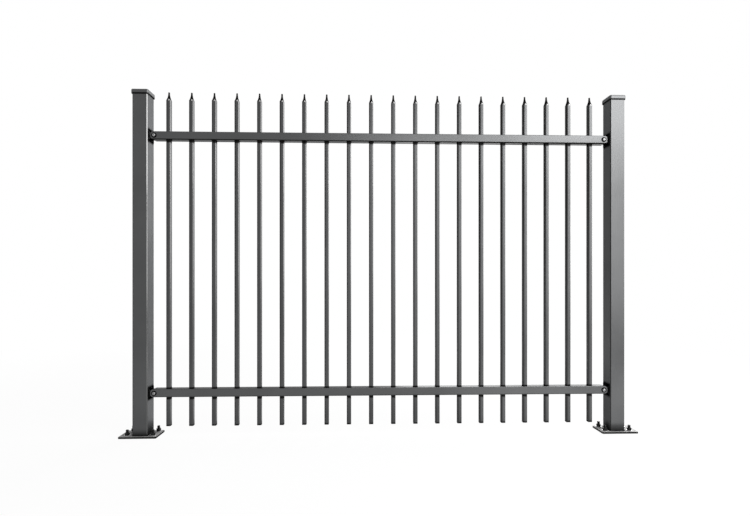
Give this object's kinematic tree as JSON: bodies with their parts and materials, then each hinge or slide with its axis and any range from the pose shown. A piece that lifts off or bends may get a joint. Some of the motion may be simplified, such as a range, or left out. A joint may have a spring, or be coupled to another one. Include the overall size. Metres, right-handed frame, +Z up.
{
  "type": "fence panel",
  "caption": "Steel fence panel with capped square posts on bolted base plates, and pivoting rails that carry spear-topped pickets and rack to follow sloping ground.",
  "frame": {"origin": "on the ground, midway between the two posts, in the middle plane of the rails", "axes": "+X along the panel to the right as pictured, +Y to the back, +Z up"},
  "size_m": [2.2336, 0.09, 1.481],
  "materials": {
    "charcoal_coat": "satin powder coat",
    "black_steel": "satin black",
    "bright_steel": "zinc plated",
    "anchor_steel": "dark galvanised"
  },
  "bodies": {
    "left_post": {"left_post": "charcoal_coat", "left_post_cap": "charcoal_coat", "left_base_plate": "charcoal_coat", "left_foot_weld": "charcoal_coat", "left_anchor_studs": "anchor_steel", "left_anchor_nuts": "anchor_steel", "left_anchor_washers": "anchor_steel", "left_top_bracket": "black_steel", "left_bottom_bracket": "black_steel", "left_bracket_screws": "black_steel", "left_pivot_bolts": "bright_steel", "left_pivot_washers": "black_steel", "left_pivot_nuts": "bright_steel"},
    "right_post": {"right_post": "charcoal_coat", "right_post_cap": "charcoal_coat", "right_base_plate": "charcoal_coat", "right_foot_weld": "charcoal_coat", "right_anchor_studs": "anchor_steel", "right_anchor_nuts": "anchor_steel", "right_anchor_washers": "anchor_steel", "right_top_bracket": "black_steel", "right_bottom_bracket": "black_steel", "right_bracket_screws": "black_steel", "right_pivot_bolts": "bright_steel", "right_pivot_washers": "black_steel", "right_pivot_nuts": "bright_steel"},
    "top_rail": {"top_rail": "charcoal_coat", "top_rail_screws": "bright_steel"},
    "bottom_rail": {"bottom_rail": "charcoal_coat", "bottom_rail_screws": "bright_steel"},
    "picket_01": {"picket_01": "charcoal_coat"},
    "picket_02": {"picket_02": "charcoal_coat"},
    "picket_03": {"picket_03": "charcoal_coat"},
    "picket_04": {"picket_04": "charcoal_coat"},
    "picket_05": {"picket_05": "charcoal_coat"},
    "picket_06": {"picket_06": "charcoal_coat"},
    "picket_07": {"picket_07": "charcoal_coat"},
    "picket_08": {"picket_08": "charcoal_coat"},
    "picket_09": {"picket_09": "charcoal_coat"},
    "picket_10": {"picket_10": "charcoal_coat"},
    "picket_11": {"picket_11": "charcoal_coat"},
    "picket_12": {"picket_12": "charcoal_coat"},
    "picket_13": {"picket_13": "charcoal_coat"},
    "picket_14": {"picket_14": "charcoal_coat"},
    "picket_15": {"picket_15": "charcoal_coat"},
    "picket_16": {"picket_16": "charcoal_coat"},
    "picket_17": {"picket_17": "charcoal_coat"},
    "picket_18": {"picket_18": "charcoal_coat"},
    "picket_19": {"picket_19": "charcoal_coat"},
    "picket_20": {"picket_20": "charcoal_coat"}
  },
  "joints": [
    {"name": "top_rail_pivot", "type": "hinge", "parent": "left_post", "child": "top_rail", "pos_m": [-0.9785, 0, 1.29], "axis": [0, -1, 0], "range_deg": [-5, 5]},
    {"name": "bottom_rail_pivot", "type": "hinge", "parent": "left_post", "child": "bottom_rail", "pos_m": [-0.9785, 0, 0.185], "axis": [0, -1, 0], "range_deg": [-5, 5]},
    {"name": "right_post_pivot", "type": "hinge", "parent": "top_rail", "child": "right_post", "pos_m": [0.9785, 0, 1.29], "axis": [0, -1, 0], "range_deg": [-5, 5]},
    {"name": "picket_01_pivot", "type": "hinge", "parent": "top_rail", "child": "picket_01", "pos_m": [-0.9215, 0, 1.29], "axis": [0, -1, 0], "range_deg": [-5, 5]},
    {"name": "picket_02_pivot", "type": "hinge", "parent": "top_rail", "child": "picket_02", "pos_m": [-0.8245, 0, 1.29], "axis": [0, -1, 0], "range_deg": [-5, 5]},
    {"name": "picket_03_pivot", "type": "hinge", "parent": "top_rail", "child": "picket_03", "pos_m": [-0.7275, 0, 1.29], "axis": [0, -1, 0], "range_deg": [-5, 5]},
    {"name": "picket_04_pivot", "type": "hinge", "parent": "top_rail", "child": "picket_04", "pos_m": [-0.6305, 0, 1.29], "axis": [0, -1, 0], "range_deg": [-5, 5]},
    {"name": "picket_05_pivot", "type": "hinge", "parent": "top_rail", "child": "picket_05", "pos_m": [-0.5335, 0, 1.29], "axis": [0, -1, 0], "range_deg": [-5, 5]},
    {"name": "picket_06_pivot", "type": "hinge", "parent": "top_rail", "child": "picket_06", "pos_m": [-0.4365, 0, 1.29], "axis": [0, -1, 0], "range_deg": [-5, 5]},
    {"name": "picket_07_pivot", "type": "hinge", "parent": "top_rail", "child": "picket_07", "pos_m": [-0.3395, 0, 1.29], "axis": [0, -1, 0], "range_deg": [-5, 5]},
    {"name": "picket_08_pivot", "type": "hinge", "parent": "top_rail", "child": "picket_08", "pos_m": [-0.2425, 0, 1.29], "axis": [0, -1, 0], "range_deg": [-5, 5]},
    {"name": "picket_09_pivot", "type": "hinge", "parent": "top_rail", "child": "picket_09", "pos_m": [-0.1455, 0, 1.29], "axis": [0, -1, 0], "range_deg": [-5, 5]},
    {"name": "picket_10_pivot", "type": "hinge", "parent": "top_rail", "child": "picket_10", "pos_m": [-0.0485, 0, 1.29], "axis": [0, -1, 0], "range_deg": [-5, 5]},
    {"name": "picket_11_pivot", "type": "hinge", "parent": "top_rail", "child": "picket_11", "pos_m": [0.0485, 0, 1.29], "axis": [0, -1, 0], "range_deg": [-5, 5]},
    {"name": "picket_12_pivot", "type": "hinge", "parent": "top_rail", "child": "picket_12", "pos_m": [0.1455, 0, 1.29], "axis": [0, -1, 0], "range_deg": [-5, 5]},
    {"name": "picket_13_pivot", "type": "hinge", "parent": "top_rail", "child": "picket_13", "pos_m": [0.2425, 0, 1.29], "axis": [0, -1, 0], "range_deg": [-5, 5]},
    {"name": "picket_14_pivot", "type": "hinge", "parent": "top_rail", "child": "picket_14", "pos_m": [0.3395, 0, 1.29], "axis": [0, -1, 0], "range_deg": [-5, 5]},
    {"name": "picket_15_pivot", "type": "hinge", "parent": "top_rail", "child": "picket_15", "pos_m": [0.4365, 0, 1.29], "axis": [0, -1, 0], "range_deg": [-5, 5]},
    {"name": "picket_16_pivot", "type": "hinge", "parent": "top_rail", "child": "picket_16", "pos_m": [0.5335, 0, 1.29], "axis": [0, -1, 0], "range_deg": [-5, 5]},
    {"name": "picket_17_pivot", "type": "hinge", "parent": "top_rail", "child": "picket_17", "pos_m": [0.6305, 0, 1.29], "axis": [0, -1, 0], "range_deg": [-5, 5]},
    {"name": "picket_18_pivot", "type": "hinge", "parent": "top_rail", "child": "picket_18", "pos_m": [0.7275, 0, 1.29], "axis": [0, -1, 0], "range_deg": [-5, 5]},
    {"name": "picket_19_pivot", "type": "hinge", "parent": "top_rail", "child": "picket_19", "pos_m": [0.8245, 0, 1.29], "axis": [0, -1, 0], "range_deg": [-5, 5]},
    {"name": "picket_20_pivot", "type": "hinge", "parent": "top_rail", "child": "picket_20", "pos_m": [0.9215, 0, 1.29], "axis": [0, -1, 0], "range_deg": [-5, 5]}
  ],
  "couplings": [
    {"joint": "bottom_rail_pivot", "follows": "top_rail_pivot", "ratio": 1},
    {"joint": "right_post_pivot", "follows": "top_rail_pivot", "ratio": -1},
    {"joint": "picket_01_pivot", "follows": "top_rail_pivot", "ratio": -1},
    {"joint": "picket_02_pivot", "follows": "top_rail_pivot", "ratio": -1},
    {"joint": "picket_03_pivot", "follows": "top_rail_pivot", "ratio": -1},
    {"joint": "picket_04_pivot", "follows": "top_rail_pivot", "ratio": -1},
    {"joint": "picket_05_pivot", "follows": "top_rail_pivot", "ratio": -1},
    {"joint": "picket_06_pivot", "follows": "top_rail_pivot", "ratio": -1},
    {"joint": "picket_07_pivot", "follows": "top_rail_pivot", "ratio": -1},
    {"joint": "picket_08_pivot", "follows": "top_rail_pivot", "ratio": -1},
    {"joint": "picket_09_pivot", "follows": "top_rail_pivot", "ratio": -1},
    {"joint": "picket_10_pivot", "follows": "top_rail_pivot", "ratio": -1},
    {"joint": "picket_11_pivot", "follows": "top_rail_pivot", "ratio": -1},
    {"joint": "picket_12_pivot", "follows": "top_rail_pivot", "ratio": -1},
    {"joint": "picket_13_pivot", "follows": "top_rail_pivot", "ratio": -1},
    {"joint": "picket_14_pivot", "follows": "top_rail_pivot", "ratio": -1},
    {"joint": "picket_15_pivot", "follows": "top_rail_pivot", "ratio": -1},
    {"joint": "picket_16_pivot", "follows": "top_rail_pivot", "ratio": -1},
    {"joint": "picket_17_pivot", "follows": "top_rail_pivot", "ratio": -1},
    {"joint": "picket_18_pivot", "follows": "top_rail_pivot", "ratio": -1},
    {"joint": "picket_19_pivot", "follows": "top_rail_pivot", "ratio": -1},
    {"joint": "picket_20_pivot", "follows": "top_rail_pivot", "ratio": -1}
  ]
}
